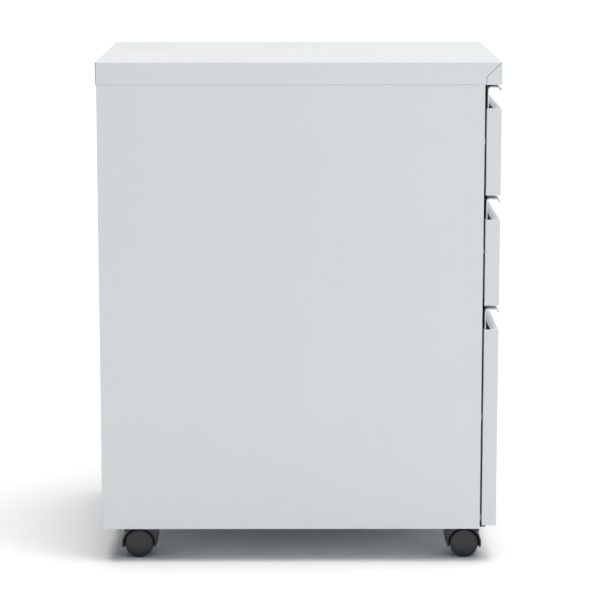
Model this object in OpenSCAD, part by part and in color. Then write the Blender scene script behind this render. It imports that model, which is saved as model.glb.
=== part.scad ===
// Three-drawer mobile pedestal of folded sheet steel: two box drawers over a file drawer, on twin-wheel casters.
// +X is the cabinet's right, -Y its front, +Z up; the origin is on the floor under the middle of the cabinet.

/* [Cabinet] */
// Overall width
body_w = 390; // [330:1:480]
// Overall depth, drawer fronts included
body_d = 520; // [420:1:640]
// Height of the slab that forms the top
slab_h = 29; // [27:1:40]
// Thickness of the folded sheet steel
sheet = 1; // [0.8:0.1:1.4]
// How far the slab stands back past the side panels
slab_overhang = 1.4; // [1:0.1:4]
// Width of the open seam between two folded edges
seam = 0.5; // [0.3:0.1:1]

/* [Drawer fronts] */
// Height of a box drawer's front, from its lower edge to the top of its pull
box_front_h = 140; // [125:1:200]
// Height of the file drawer's front, from its lower edge to the top of its pull
file_front_h = 290; // [250:1:360]
// Depth of a drawer front
front_d = 19; // [17:1:23]
// Gap between a closed front and the side panels
front_gap = 2.5; // [2:0.1:5]
// Gap between one front and the next
drawer_gap = 4; // [3:0.1:8]
// Gap between the slab and the top drawer's pull
slab_gap = 2.5; // [2:0.1:6]
// How far the lowest front stays above the side panels' lower edge
toe_gap = 4.5; // [4:0.1:10]
// How far each front stays inside the cabinet's width at either side
side_reveal = 1; // [0.5:0.1:3]
// Height of the open finger recess with its hook
pull_h = 27.5; // [24:0.5:40]
// Thickness of the bent pull plate
pull_t = 1.2; // [1:0.1:1.6]
// Outer radius of the pull's bends
pull_r = 4; // [3:0.5:6]
// How far the pull's front lip hangs below its top
pull_lip = 5.5; // [4.5:0.5:8]
// Depth of the flange along the top of a front
ledge_d = 11; // [6:0.5:12]

/* [Trays and slides] */
// Depth of the vertical posts that the slides are riveted to
post_d = 14; // [13:1:20]
// Width of a post
post_w = 30; // [24:1:50]
// Thickness of a slide, from post to tray
slide_t = 12.7; // [12.2:0.1:16]
// Height of a box drawer's slides
box_slide_h = 35; // [34:1:42]
// Height of the file drawer's slides
file_slide_h = 45; // [44:1:52]
// Thickness of the slides' steel
slide_wall = 1.2; // [1:0.1:1.2]
// Radius of a bearing ball
ball_r = 2; // [1.8:0.1:2.1]
// Running clearance on balls, axles, stems and the lock's plug
run_gap = 0.05; // [0.03:0.01:0.09]
// How far a box drawer opens
box_travel = 330; // [200:5:335]
// How far the file drawer opens
file_travel = 430; // [250:5:435]
// How far a tray's floor stays above its front's lower edge
tray_lift = 10; // [9:0.5:20]
// Clearance behind a tray
tray_back_gap = 36; // [20:1:60]
// Width of the rolled edge along the top of a tray
tray_edge = 5; // [3:0.5:6]
// Height of the rails that hanging folders hook over
folder_rail_h = 10; // [8:1:16]

/* [Lock] */
// Distance of the lock's axis from the cabinet's right side
lock_inset = 27; // [25:0.5:29]
// Radius of the lock's housing
lock_r = 9; // [8:0.5:10]
// Radius of the plug that the key turns
plug_r = 6; // [5:0.5:6.5]
// Radius of the circle that the cam's pin moves on
cam_throw = 6.5; // [6:0.5:7]
// Radius of the studs that the lock bar catches
stud_r = 3; // [2.5:0.5:4]

/* [Casters] */
// Radius of a wheel
wheel_r = 19; // [16:0.5:25]
// Width of one wheel
wheel_w = 9.7; // [8:0.1:14]
// Thickness of the hood's web between the wheels
web_t = 12; // [11:0.5:16]
// Wall of the hood over the wheels
hood_wall = 3.8; // [2.5:0.1:5]
// Distance from a caster's stem to its axle
trail = 16; // [14:0.5:18]
// Radius of an axle
axle_r = 3; // [2.5:0.5:4]
// Radius of a stem
stem_r = 4; // [3.5:0.5:4.5]
// Height of the collar between a hood and the base
collar_h = 3.6; // [3:0.1:8]
// Distance of the stems from the cabinet's left and right sides
caster_inset_x = 43; // [40:1:70]
// Distance of the front stems from the front
caster_inset_front = 56; // [46:1:90]
// Distance of the rear stems from the back
caster_inset_back = 64; // [46:1:90]

/* [Hidden] */
$fn = 48;

// Gap kept between pieces that move past each other
clear = 0.3;

// Heights, from the floor up
wheel_gap = 1.2;
hood_top = 2 * wheel_r + wheel_gap + hood_wall;
side_z = hood_top + clear + 0.1 + collar_h - sheet;
base_z = side_z + sheet;
floor_z = base_z + sheet;
file_z = side_z + toe_gap;
box2_z = file_z + file_front_h + drawer_gap;
box1_z = box2_z + box_front_h + drawer_gap;
slab_z = box1_z + box_front_h + slab_gap;
top_z = slab_z + slab_h;

// Planes across the width, as distances from the middle
half_w = body_w / 2;
inner_x = half_w - sheet;
post_x = inner_x - post_d;
tray_x = post_x - slide_t;
front_x = half_w - side_reveal;
flange_x = (post_x + inner_x) / 2;

// Planes along the depth
y_front = -body_d / 2;
y_back = body_d / 2;
front_back = y_front + front_d;
pull_back = front_back - sheet;
carcass_front = front_back + front_gap;
carcass_back = y_back - slab_overhang;
tray_back = carcass_back - tray_back_gap;

// Side corners of the slab: the ears' mitre starts behind the front face and ends where the ears do
mitre_y = y_front + sheet;
ear_y = y_front + front_d + seam;

// Posts and slides
post_front_y = carcass_front + 26.5;
post_back_y = carcass_back - 78;
slide_y = carcass_front + 8.5;
slide_l = carcass_back - 38.6 - slide_y;
slide_mid_y = slide_y + slide_l / 2;
moving_end_y = slide_y + slide_l - 2;
slide_z1 = box1_z + box_front_h / 2;
slide_z2 = box2_z + box_front_h / 2;
slide_z3 = file_z + file_front_h / 2;
rivet_r = 2;
lip = 1;
lip_h = 1.3;
ball_step = 2 * (ball_r + run_gap);
race_u = slide_wall + 3 + ball_r;
cage_u = slide_wall + 0.5;
cage_t = 0.6;
mid_u = cage_u + cage_t + 0.4;
mid_cage_u = mid_u + slide_wall + 0.4;
mid_race_u = mid_cage_u + cage_t + 0.6 + ball_r;
mid_flange_u = mid_race_u + ball_r + 0.3 + lip;
balls_per_row = 4;
box_cage_l = min(100, slide_l - box_travel - 10);
file_cage_l = min(200, slide_l - file_travel / 2 - 10);

// Lock: the cam's pin swings from 45 degrees below level to 45 degrees above it
lock_x = half_w - lock_inset;
lock_z = slab_z + slab_h / 2 - 0.5;
lock_back = y_front + 22;
cam_front = lock_back + clear;
cam_t = 2;
pin_r = 2;
pin_reach = cam_throw * cos(45);
bar_lift = 2 * pin_reach;
bar_t = 2;
bar_y = carcass_front + 4.5;
bar_x = [post_x + 2.5, inner_x - 1.5];
bar_bottom = floor_z + 18;
guide_r = 2.5;
stud_y = bar_y + bar_t + 1 + stud_r;
stud_above = 16;
tab_h = 8;

// Casters
stem_x = half_w - caster_inset_x;
stem_front_y = y_front + caster_inset_front;
stem_back_y = y_back - caster_inset_back;
hood_in = wheel_r + wheel_gap;
hood_out = hood_in + 2.8;
caster_half_w = web_t / 2 + clear + wheel_w;
socket_floor = wheel_r + 2;

// Colours
paint = [0.83, 0.845, 0.86];
inner_paint = [0.74, 0.76, 0.78];
zinc = [0.68, 0.69, 0.7];
bright = [0.8, 0.8, 0.82];
black = [0.1, 0.1, 0.11];
milky = [0.8, 0.8, 0.78];
wheel_grey = [0.21, 0.215, 0.23];

// ---- Shapes that repeat ----

// A box given by its lowest and highest value along each axis.
module block(x, y, z) {
    translate([x[0], y[0], z[0]]) cube([x[1] - x[0], y[1] - y[0], z[1] - z[0]]);
}

module both_sides() {
    children();
    mirror([1, 0, 0]) children();
}

// Copies above and below a level.
module up_down(z) {
    translate([0, 0, z]) {
        children();
        mirror([0, 0, 1]) children();
    }
}

// A round bar along +Y that starts at y and is l long.
module bar_y_way(x, y, z, r, l) {
    translate([x, y, z]) rotate([-90, 0, 0]) cylinder(r = r, h = l);
}

// A round bar along +X that starts at x and is l long.
module bar_x_way(x, y, z, r, l) {
    translate([x, y, z]) rotate([0, 90, 0]) cylinder(r = r, h = l);
}

// An outline in depth and height, drawn out across the width from x0 to x1.
module across(x0, x1) {
    translate([x0, 0, 0]) rotate([90, 0, 90]) linear_extrude(x1 - x0) children();
}

// ---- Carcass ----

// Slab sheet with side skirts, their inward returns and a rear flange; the skirts are mitred at the front.
module top_panel() color(paint) {
    under = top_z - sheet;
    start = mitre_y + seam * sqrt(2);
    block([-half_w, half_w], [y_front, y_back], [under, top_z]);
    both_sides() {
        across(inner_x, half_w) polygon([
            [carcass_back, slab_z], [carcass_back, under], [start, under],
            [ear_y + seam, under - (ear_y + seam - start)], [ear_y + seam, slab_z]]);
        block([post_x, inner_x], [carcass_front + 12, carcass_back - sheet], [slab_z, slab_z + sheet]);
    }
    block([seam - inner_x, inner_x - seam], [y_back - sheet, y_back], [slab_z, under]);
}

// Front of the slab: face, bottom flange and the two mitred ears that wrap round the corners.
module front_rail() color(paint) {
    under = top_z - sheet;
    difference() {
        block([-half_w, half_w], [y_front, y_front + sheet], [slab_z, under]);
        bar_y_way(lock_x, y_front - 1, lock_z, lock_r + run_gap, sheet + 2);
    }
    block([-half_w, half_w], [y_front, ear_y], [slab_z, slab_z + sheet]);
    both_sides() across(inner_x, half_w) polygon([
        [y_front, slab_z], [y_front, under], [mitre_y, under],
        [ear_y, under - (ear_y - mitre_y)], [ear_y, slab_z]]);
}

// Side sheet with flanges turned inwards along all four edges.
module side_panel() color(paint) {
    flange = [post_x, inner_x];
    block([inner_x, half_w], [carcass_front, carcass_back], [side_z, slab_z]);
    block(flange, [carcass_front, carcass_front + sheet], [side_z, slab_z]);
    block(flange, [carcass_back - sheet, carcass_back], [side_z, slab_z]);
    block(flange, [carcass_front + 12, carcass_back - sheet], [slab_z - sheet, slab_z]);
    block([post_x - 10, inner_x], [carcass_front + sheet, carcass_back - sheet], [side_z, base_z]);
}

module side_panel_left() mirror([1, 0, 0]) side_panel();
module side_panel_right() side_panel();

module back_panel() color(paint)
    block([-inner_x, inner_x], [carcass_back - 2 * sheet, carcass_back - sheet], [floor_z, slab_z - sheet]);

// Base sheet with its upturned front lip and the holes that the caster stems pass through.
module base_panel() color(paint) difference() {
    union() {
        block([-inner_x, inner_x], [carcass_front + sheet, carcass_back - sheet], [base_z, floor_z]);
        block([-post_x, post_x], [carcass_front, carcass_front + sheet], [side_z, side_z + 12]);
    }
    at_stems() translate([0, 0, base_z - 1]) cylinder(r = stem_r + 0.2, h = sheet + 2);
}

// Angle that ties the two side panels together under the slab.
module top_cross_rail() color(paint) {
    block([-post_x, post_x], [carcass_front, carcass_front + sheet], [slab_z - 14, slab_z]);
    block([-post_x, post_x], [carcass_front, carcass_front + 16], [slab_z - sheet, slab_z]);
}

// Two channels across the base, each with the threaded bosses that the caster stems screw into.
module caster_rails() color(inner_paint) for (y = [stem_front_y, stem_back_y]) {
    rail_x = post_x - 8;
    rail_h = 9;
    rail_t = 1.5;
    rail_half = 20;
    difference() {
        block([-rail_x, rail_x], [y - rail_half, y + rail_half], [floor_z, floor_z + rail_h]);
        block([-rail_x - 1, rail_x + 1], [y - rail_half + rail_t, y + rail_half - rail_t],
            [floor_z - 1, floor_z + rail_h - rail_t]);
    }
    both_sides() translate([stem_x, y, floor_z]) difference() {
        cylinder(r = 2 * stem_r, h = rail_h - rail_t, $fn = 6);
        translate([0, 0, -1]) cylinder(r = stem_r, h = rail_h - rail_t + 1);
    }
}

// Hat-shaped upright inside a side panel, drilled for the slide rivets.
module slide_posts() color(inner_paint) both_sides() for (y = [post_front_y, post_back_y]) {
    z = [floor_z, slab_z - sheet];
    difference() {
        block([post_x, post_x + sheet], [y, y + post_w], z);
        for (level = [slide_z1, slide_z2, slide_z3])
            bar_x_way(post_x - 1, y + post_w / 2, level, rivet_r + run_gap, sheet + 2);
    }
    block([post_x + sheet, inner_x], [y, y + sheet], z);
    block([post_x + sheet, inner_x], [y + post_w - sheet, y + post_w], z);
}

// Rivets that hold each slide to its posts, flush in the slide's web.
module slide_rivets() color(zinc) both_sides()
    for (y = [post_front_y, post_back_y], level = [slide_z1, slide_z2, slide_z3]) {
        bar_x_way(post_x - slide_wall, y + post_w / 2, level, rivet_r, slide_wall + sheet);
        bar_x_way(post_x + sheet, y + post_w / 2, level, rivet_r + 1.5, 1.2);
    }

// Round closing bumpers on the front flanges, and two glides under the lowest front.
module bumpers() color(milky) both_sides() {
    bumper_t = front_gap - clear;
    bumper_r = 4;
    for (level = [slide_z1, slide_z2, slide_z3, file_z + 9.5])
        bar_y_way(flange_x, carcass_front - bumper_t, level, bumper_r, bumper_t);
    block([post_x - 40, inner_x - 2], [carcass_front - 8, carcass_front], [file_z - clear - 2, file_z - clear]);
}

// ---- Lock ----

module lock_housing() color(bright) difference() {
    union() {
        bar_y_way(lock_x, y_front, lock_z, lock_r, lock_back - y_front);
        bar_y_way(lock_x, y_front + sheet, lock_z, lock_r + 2.5, 2.5);
    }
    bar_y_way(lock_x, y_front - 1, lock_z, plug_r + run_gap, lock_back - y_front + 2);
}

// Plug with its keyway, and the tail that carries the cam.
module lock_plug() color(bright) {
    face = y_front + 0.3;
    difference() {
        bar_y_way(lock_x, face, lock_z, plug_r, lock_back - face);
        block([lock_x - 0.7, lock_x + 0.7], [face - 1, face + 8], [lock_z - 3.5, lock_z + 3.5]);
    }
    bar_y_way(lock_x, lock_back, lock_z, plug_r / 2, cam_t + 2 * clear);
}

module lock_cam() color(zinc) {
    difference() {
        bar_y_way(lock_x, cam_front, lock_z, lock_r, cam_t);
        bar_y_way(lock_x, cam_front - 1, lock_z, plug_r / 2, cam_t + 2);
    }
    bar_y_way(lock_x + pin_reach, cam_front + cam_t, lock_z - pin_reach, pin_r,
        bar_y + bar_t - cam_front - cam_t + 0.8);
}

function guide_levels() = [slide_z3 - 60, slide_z3 + 90, slide_z2 - 40, slide_z1 - 50];
function stud_level(slide_z, slide_h) = slide_z + slide_h / 2 + stud_above;
function stud_levels() = [stud_level(slide_z1, box_slide_h), stud_level(slide_z2, box_slide_h),
    stud_level(slide_z3, file_slide_h)];

// Upright bar behind the right front flange; it rises as the cam turns, and its tabs then block the studs.
module lock_bar() color(zinc) {
    y = [bar_y, bar_y + bar_t];
    pin_z = lock_z - pin_reach;
    head = 6;
    difference() {
        union() {
            block(bar_x, y, [bar_bottom, pin_z]);
            block([lock_x + 1, bar_x[1]], y, [pin_z - head, pin_z + head]);
            for (level = stud_levels())
                block([tray_x + 3.7, bar_x[0]], y, [level - 2 * stud_r - tab_h, level - 2 * stud_r]);
        }
        block([lock_x + pin_reach - pin_r - 0.5, lock_x + cam_throw + pin_r + 0.5],
            [bar_y - 1, bar_y + bar_t + 1], [pin_z - pin_r - clear, pin_z + pin_r + clear]);
        for (level = guide_levels())
            block([flange_x - guide_r - clear, flange_x + guide_r + clear], [bar_y - 1, bar_y + bar_t + 1],
                [level - bar_lift - guide_r - clear, level + guide_r + clear]);
    }
}

// Shoulder rivets in the right front flange that the lock bar slides on.
module lock_bar_rivets() color(zinc) for (level = guide_levels()) {
    shank = bar_y + bar_t + clear - carcass_front - sheet;
    bar_y_way(flange_x, carcass_front + sheet, level, guide_r, shank);
    bar_y_way(flange_x, carcass_front + sheet + shank, level, 2 * guide_r, 1.5);
}

// ---- Slides, drawn at the right and mirrored; u is the distance from the post towards the tray ----

function u_way(a, b) = [post_x - b, post_x - a];

// Cabinet member: a web on the post, flanges over the balls and a small lip on each.
module slide_outer(level, h) color(zinc) both_sides() {
    y = [slide_y, slide_y + slide_l];
    reach = race_u + ball_r + 0.3 + lip;
    difference() {
        block(u_way(0, slide_wall), y, [level - h / 2, level + h / 2]);
        for (post_y = [post_front_y, post_back_y])
            bar_x_way(post_x - slide_wall - 1, post_y + post_w / 2, level, rivet_r + run_gap, slide_wall + 2);
    }
    up_down(level) {
        block(u_way(0, reach), y, [h / 2 - slide_wall, h / 2]);
        block(u_way(reach - lip, reach), y, [h / 2 - slide_wall - lip_h, h / 2 - slide_wall]);
    }
}

// Drawer member: a web on the tray, with flanges under the balls that start at u.
module slide_inner(level, half, u) color(zinc) both_sides() {
    y = [front_back + 0.1, moving_end_y];
    block(u_way(slide_t - slide_wall, slide_t), y, [level - half, level + half]);
    up_down(level) block(u_way(u, slide_t - slide_wall), y, [half - slide_wall, half]);
}

// A cage with two rows of balls at the given half-height; the web that joins the rows stands at u.
module slide_cage(level, half, u, ball_u, l) color(bright) both_sides() {
    y0 = slide_mid_y - l / 2;
    step = l / balls_per_row;
    difference() {
        union() {
            block(u_way(u, u + cage_t), [y0, y0 + l], [level - half, level + half]);
            up_down(level)
                block(u_way(u, ball_u + ball_r + 0.7), [y0, y0 + l], [half - cage_t / 2, half + cage_t / 2]);
        }
        for (i = [0:balls_per_row - 1])
            translate([post_x - ball_u, y0 + step * (i + 0.5), level - half - 1])
                cylinder(r = ball_r + run_gap, h = 2 * half + 2);
    }
    for (i = [0:balls_per_row - 1])
        up_down(level) translate([post_x - ball_u, y0 + step * (i + 0.5), half]) sphere(r = ball_r, $fn = 24);
}

function race_half(h) = h / 2 - slide_wall - ball_step / 2;
function next_half(h) = h / 2 - slide_wall - ball_step;

module slide_outer_1() slide_outer(slide_z1, box_slide_h);
module slide_outer_2() slide_outer(slide_z2, box_slide_h);
module slide_outer_3() slide_outer(slide_z3, file_slide_h);
module slide_inner_1() slide_inner(slide_z1, next_half(box_slide_h), mid_u);
module slide_inner_2() slide_inner(slide_z2, next_half(box_slide_h), mid_u);
module slide_inner_3()
    slide_inner(slide_z3, next_half(2 * next_half(file_slide_h)), mid_cage_u + cage_t + 0.4);
module slide_cage_1() slide_cage(slide_z1, race_half(box_slide_h), cage_u, race_u, box_cage_l);
module slide_cage_2() slide_cage(slide_z2, race_half(box_slide_h), cage_u, race_u, box_cage_l);
module slide_cage_3_outer() slide_cage(slide_z3, race_half(file_slide_h), cage_u, race_u, file_cage_l);
module slide_cage_3_inner()
    slide_cage(slide_z3, race_half(2 * next_half(file_slide_h)), mid_cage_u, mid_race_u, file_cage_l);

// Middle member of the file drawer's slides.
module slide_mid_3() color(zinc) both_sides() {
    half = next_half(file_slide_h);
    y = [slide_y, moving_end_y];
    block(u_way(mid_u, mid_u + slide_wall), y, [slide_z3 - half, slide_z3 + half]);
    up_down(slide_z3) {
        block(u_way(mid_u, mid_flange_u), y, [half - slide_wall, half]);
        block(u_way(mid_flange_u - lip, mid_flange_u), y, [half - slide_wall - lip_h, half - slide_wall]);
    }
}

// ---- Drawers ----

// Folded pan: face, two sides with rear returns, bottom flange and the ledge under the finger recess.
module drawer_front(z, h) color(paint) {
    top = z + h - pull_h;
    block([-front_x, front_x], [y_front, y_front + sheet], [z, top]);
    block([-front_x, front_x], [y_front, front_back], [z, z + sheet]);
    block([-front_x, front_x], [y_front, y_front + ledge_d], [top - sheet, top]);
    both_sides() {
        block([front_x - sheet, front_x], [y_front, front_back], [z, top]);
        block([post_x, front_x], [pull_back, front_back], [z, top]);
    }
}

// Back plate of a front, rising behind the finger recess and rolling forwards over it into a short lip.
module drawer_pull(z, h) color(paint) {
    top = z + h;
    ledge = top - pull_h;
    difference() {
        union() {
            block([sheet + 0.2 - front_x, front_x - sheet - 0.2], [pull_back - pull_t, pull_back],
                [z + sheet + 2, ledge]);
            across(-front_x, front_x) difference() {
                rolled_top(y_front, pull_back, ledge, top, pull_r);
                rolled_top(y_front + pull_t, pull_back - pull_t, ledge - 1, top - pull_t, pull_r - pull_t);
                translate([y_front - 1, ledge - 1])
                    square([pull_back - y_front - pull_t, pull_h + 1 - pull_lip]);
            }
        }
        screw_places(z, h) bar_y_way(0, pull_back - pull_t - 1, 0, 2.1, pull_t + 2);
    }
}

// Outline with a square foot and two rounded top corners.
module rolled_top(y0, y1, z0, z1, r) {
    translate([y0, z0]) square([y1 - y0, z1 - z0 - r]);
    translate([y0 + r, z0]) square([y1 - y0 - 2 * r, z1 - z0]);
    translate([y0 + r, z1 - r]) circle(r = r);
    translate([y1 - r, z1 - r]) circle(r = r);
}

// The four places where a tray is screwed to its front.
module screw_places(z, h) {
    for (x = [-tray_x * 0.7, tray_x * 0.7], level = [z + tray_lift + 15, z + h - pull_h - 17])
        translate([x, 0, level]) children();
}

function tray_bottom(z) = z + tray_lift;
function tray_top(z, h) = z + h - pull_h - 2;

// Tray wrapper: one sheet for the bottom and both sides, with a rolled edge turned outwards along each side.
module drawer_tray(z, h) color(inner_paint) {
    y = [pull_back, tray_back];
    block([-tray_x, tray_x], y, [tray_bottom(z), tray_bottom(z) + sheet]);
    both_sides() {
        block([tray_x - sheet, tray_x], y, [tray_bottom(z), tray_top(z, h)]);
        block([tray_x - sheet, tray_x + tray_edge], [carcass_front + 1, tray_back],
            [tray_top(z, h) - sheet, tray_top(z, h)]);
    }
}

// Ends welded between the wrapper's sides: a plain front with the screw holes, and a back with a rolled edge.
module drawer_tray_ends(z, h) color(inner_paint) {
    x = [sheet - tray_x, tray_x - sheet];
    level = [tray_bottom(z) + sheet, tray_top(z, h)];
    difference() {
        block(x, [pull_back, pull_back + sheet], level);
        screw_places(z, h) bar_y_way(0, pull_back - 1, 0, 2.1, sheet + 2);
    }
    block(x, [tray_back - sheet, tray_back], level);
    block(x, [tray_back, tray_back + tray_edge], [tray_top(z, h) - sheet, tray_top(z, h)]);
}

// Pan-head screws from inside the tray into the front, and the stud at its right that the lock bar catches.
module drawer_fasteners(z, h, level) color(zinc) {
    screw_places(z, h) {
        bar_y_way(0, pull_back - pull_t - 4, 0, 2, pull_t + 4 + sheet);
        bar_y_way(0, front_back, 0, 4, 1.8);
    }
    bar_x_way(tray_x, stud_y, level, stud_r, 9.7);
    bar_x_way(tray_x, stud_y, level, stud_r + 1, 1);
}

module drawer_1_front() drawer_front(box1_z, box_front_h);
module drawer_1_pull() drawer_pull(box1_z, box_front_h);
module drawer_1_tray() drawer_tray(box1_z, box_front_h);
module drawer_1_tray_ends() drawer_tray_ends(box1_z, box_front_h);
module drawer_1_fasteners() drawer_fasteners(box1_z, box_front_h, stud_levels()[0]);
module drawer_2_front() drawer_front(box2_z, box_front_h);
module drawer_2_pull() drawer_pull(box2_z, box_front_h);
module drawer_2_tray() drawer_tray(box2_z, box_front_h);
module drawer_2_tray_ends() drawer_tray_ends(box2_z, box_front_h);
module drawer_2_fasteners() drawer_fasteners(box2_z, box_front_h, stud_levels()[1]);
module drawer_3_front() drawer_front(file_z, file_front_h);
module drawer_3_pull() drawer_pull(file_z, file_front_h);
module drawer_3_tray() drawer_tray(file_z, file_front_h);
module drawer_3_tray_ends() drawer_tray_ends(file_z, file_front_h);
module drawer_3_fasteners() drawer_fasteners(file_z, file_front_h, stud_levels()[2]);

// Two upright strips on the file tray's side walls, for hanging folders.
module folder_rails() color(bright) both_sides() {
    top = tray_top(file_z, file_front_h);
    block([tray_x - 2, tray_x], [front_back + 4, tray_back - 4], [top, top + folder_rail_h]);
}

// ---- Casters, drawn with the stem at the origin and the axle towards +Y ----

module at_stems() {
    both_sides() {
        translate([stem_x, stem_front_y, 0]) children();
        translate([stem_x, stem_back_y, 0]) children();
    }
}

// side is 1 on the right and -1 on the left; end is 1 at the back and -1 at the front.
module at_caster(side, end) {
    translate([side * stem_x, end > 0 ? stem_back_y : stem_front_y, 0])
        mirror([side > 0 ? 0 : 1, 0, 0]) mirror([0, end > 0 ? 0 : 1, 0]) children();
}

// Stem: a smooth shank in the hood, a collar under the base and a threaded end above it.
module caster_stems() color(zinc) at_stems() {
    collar_z = hood_top + clear + 0.1;
    translate([0, 0, socket_floor + clear]) cylinder(r = stem_r, h = floor_z + 7 - socket_floor - clear);
    translate([0, 0, collar_z]) cylinder(r = 2 * stem_r, h = base_z - collar_z);
}

// Outline of the hood from the side, with the axle at the origin: a round cover under a flat plate, which widens
// towards the stem and ends in two thin tips below the axle.
module hood_outline() {
    head = hood_top - wheel_r;
    tip = -5.2;
    shoulder = 9;
    bulge = hood_out + 4;
    back = max(trail + 9.4, hood_out + 2.4);
    plate = hood_out - 7;
    intersection() {
        circle(r = hood_out);
        translate([0, tip]) square([hood_out, head - tip]);
    }
    translate([0, plate]) square([hood_out - 3, head - plate]);
    intersection() {
        translate([bulge - back, shoulder]) circle(r = bulge);
        translate([-back, tip]) square([back, shoulder - tip]);
    }
    translate([-back, shoulder]) square([back, head - shoulder]);
}

module hood() color(black) difference() {
    union() {
        translate([0, trail, wheel_r]) across(-caster_half_w, caster_half_w) difference() {
            hood_outline();
            circle(r = hood_in);
        }
        translate([0, trail, wheel_r]) across(-web_t / 2, web_t / 2) {
            hood_outline();
            circle(r = 9);
        }
    }
    translate([0, 0, socket_floor]) cylinder(r = stem_r + run_gap, h = hood_top);
    bar_x_way(-web_t, trail, wheel_r, axle_r, 2 * web_t);
}

module axle() color(zinc) bar_x_way(2 - caster_half_w, trail, wheel_r, axle_r, 2 * (caster_half_w - 2));

// One wheel, with a rounded tread, a dished outer face and a hub; way is 1 for the outer wheel.
module wheel(way) color(wheel_grey) translate([way * (web_t / 2 + clear), trail, wheel_r])
    rotate([0, way * 90, 0]) difference() {
        union() {
            cylinder(r = wheel_r - 0.8, h = wheel_w);
            translate([0, 0, 0.8]) cylinder(r = wheel_r, h = wheel_w - 1.6);
        }
        translate([0, 0, wheel_w - 0.8]) difference() {
            cylinder(r = wheel_r - 3, h = 2);
            cylinder(r = 2 * axle_r, h = 2);
        }
        translate([0, 0, -1]) cylinder(r = axle_r + run_gap, h = wheel_w);
    }

module caster_fl_hood() at_caster(-1, -1) hood();
module caster_fl_axle() at_caster(-1, -1) axle();
module caster_fl_wheel_outer() at_caster(-1, -1) wheel(1);
module caster_fl_wheel_inner() at_caster(-1, -1) wheel(-1);
module caster_fr_hood() at_caster(1, -1) hood();
module caster_fr_axle() at_caster(1, -1) axle();
module caster_fr_wheel_outer() at_caster(1, -1) wheel(1);
module caster_fr_wheel_inner() at_caster(1, -1) wheel(-1);
module caster_bl_hood() at_caster(-1, 1) hood();
module caster_bl_axle() at_caster(-1, 1) axle();
module caster_bl_wheel_outer() at_caster(-1, 1) wheel(1);
module caster_bl_wheel_inner() at_caster(-1, 1) wheel(-1);
module caster_br_hood() at_caster(1, 1) hood();
module caster_br_axle() at_caster(1, 1) axle();
module caster_br_wheel_outer() at_caster(1, 1) wheel(1);
module caster_br_wheel_inner() at_caster(1, 1) wheel(-1);

top_panel();
front_rail();
side_panel_left();
side_panel_right();
back_panel();
base_panel();
top_cross_rail();
caster_rails();
slide_posts();
slide_rivets();
bumpers();
lock_housing();
lock_bar_rivets();
lock_plug();
lock_cam();
lock_bar();
caster_stems();
slide_outer_1();
slide_outer_2();
slide_outer_3();
slide_cage_1();
slide_cage_2();
slide_cage_3_outer();
slide_cage_3_inner();
slide_mid_3();
slide_inner_1();
slide_inner_2();
slide_inner_3();
drawer_1_front();
drawer_1_pull();
drawer_1_tray();
drawer_1_tray_ends();
drawer_1_fasteners();
drawer_2_front();
drawer_2_pull();
drawer_2_tray();
drawer_2_tray_ends();
drawer_2_fasteners();
drawer_3_front();
drawer_3_pull();
drawer_3_tray();
drawer_3_tray_ends();
drawer_3_fasteners();
folder_rails();
caster_fl_hood();
caster_fl_axle();
caster_fl_wheel_outer();
caster_fl_wheel_inner();
caster_fr_hood();
caster_fr_axle();
caster_fr_wheel_outer();
caster_fr_wheel_inner();
caster_bl_hood();
caster_bl_axle();
caster_bl_wheel_outer();
caster_bl_wheel_inner();
caster_br_hood();
caster_br_axle();
caster_br_wheel_outer();
caster_br_wheel_inner();
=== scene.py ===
import math

import bmesh
import bpy
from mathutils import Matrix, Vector


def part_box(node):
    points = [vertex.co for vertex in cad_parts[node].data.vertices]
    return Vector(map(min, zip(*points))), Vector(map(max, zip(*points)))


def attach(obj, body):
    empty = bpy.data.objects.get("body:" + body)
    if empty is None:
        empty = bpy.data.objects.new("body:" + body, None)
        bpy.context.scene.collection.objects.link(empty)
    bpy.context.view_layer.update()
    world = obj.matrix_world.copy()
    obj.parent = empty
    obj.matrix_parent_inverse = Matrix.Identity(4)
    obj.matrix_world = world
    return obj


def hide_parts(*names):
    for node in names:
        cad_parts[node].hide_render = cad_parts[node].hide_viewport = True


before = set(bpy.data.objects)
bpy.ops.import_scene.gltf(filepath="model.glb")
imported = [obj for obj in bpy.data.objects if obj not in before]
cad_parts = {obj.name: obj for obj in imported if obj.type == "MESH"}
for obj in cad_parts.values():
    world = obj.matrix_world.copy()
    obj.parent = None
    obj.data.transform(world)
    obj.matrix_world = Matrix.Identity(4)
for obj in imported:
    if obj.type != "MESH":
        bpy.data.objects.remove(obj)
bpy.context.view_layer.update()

# ---- Slab ----
# The top is one 1 mm steel sheet folded down into a skirt. Its front rail is a second folded piece, and the
# two meet at a mitred, open seam. Pressed bends are round outside and tight inside, and the whole carcass is
# powder-coated after welding.


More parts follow.
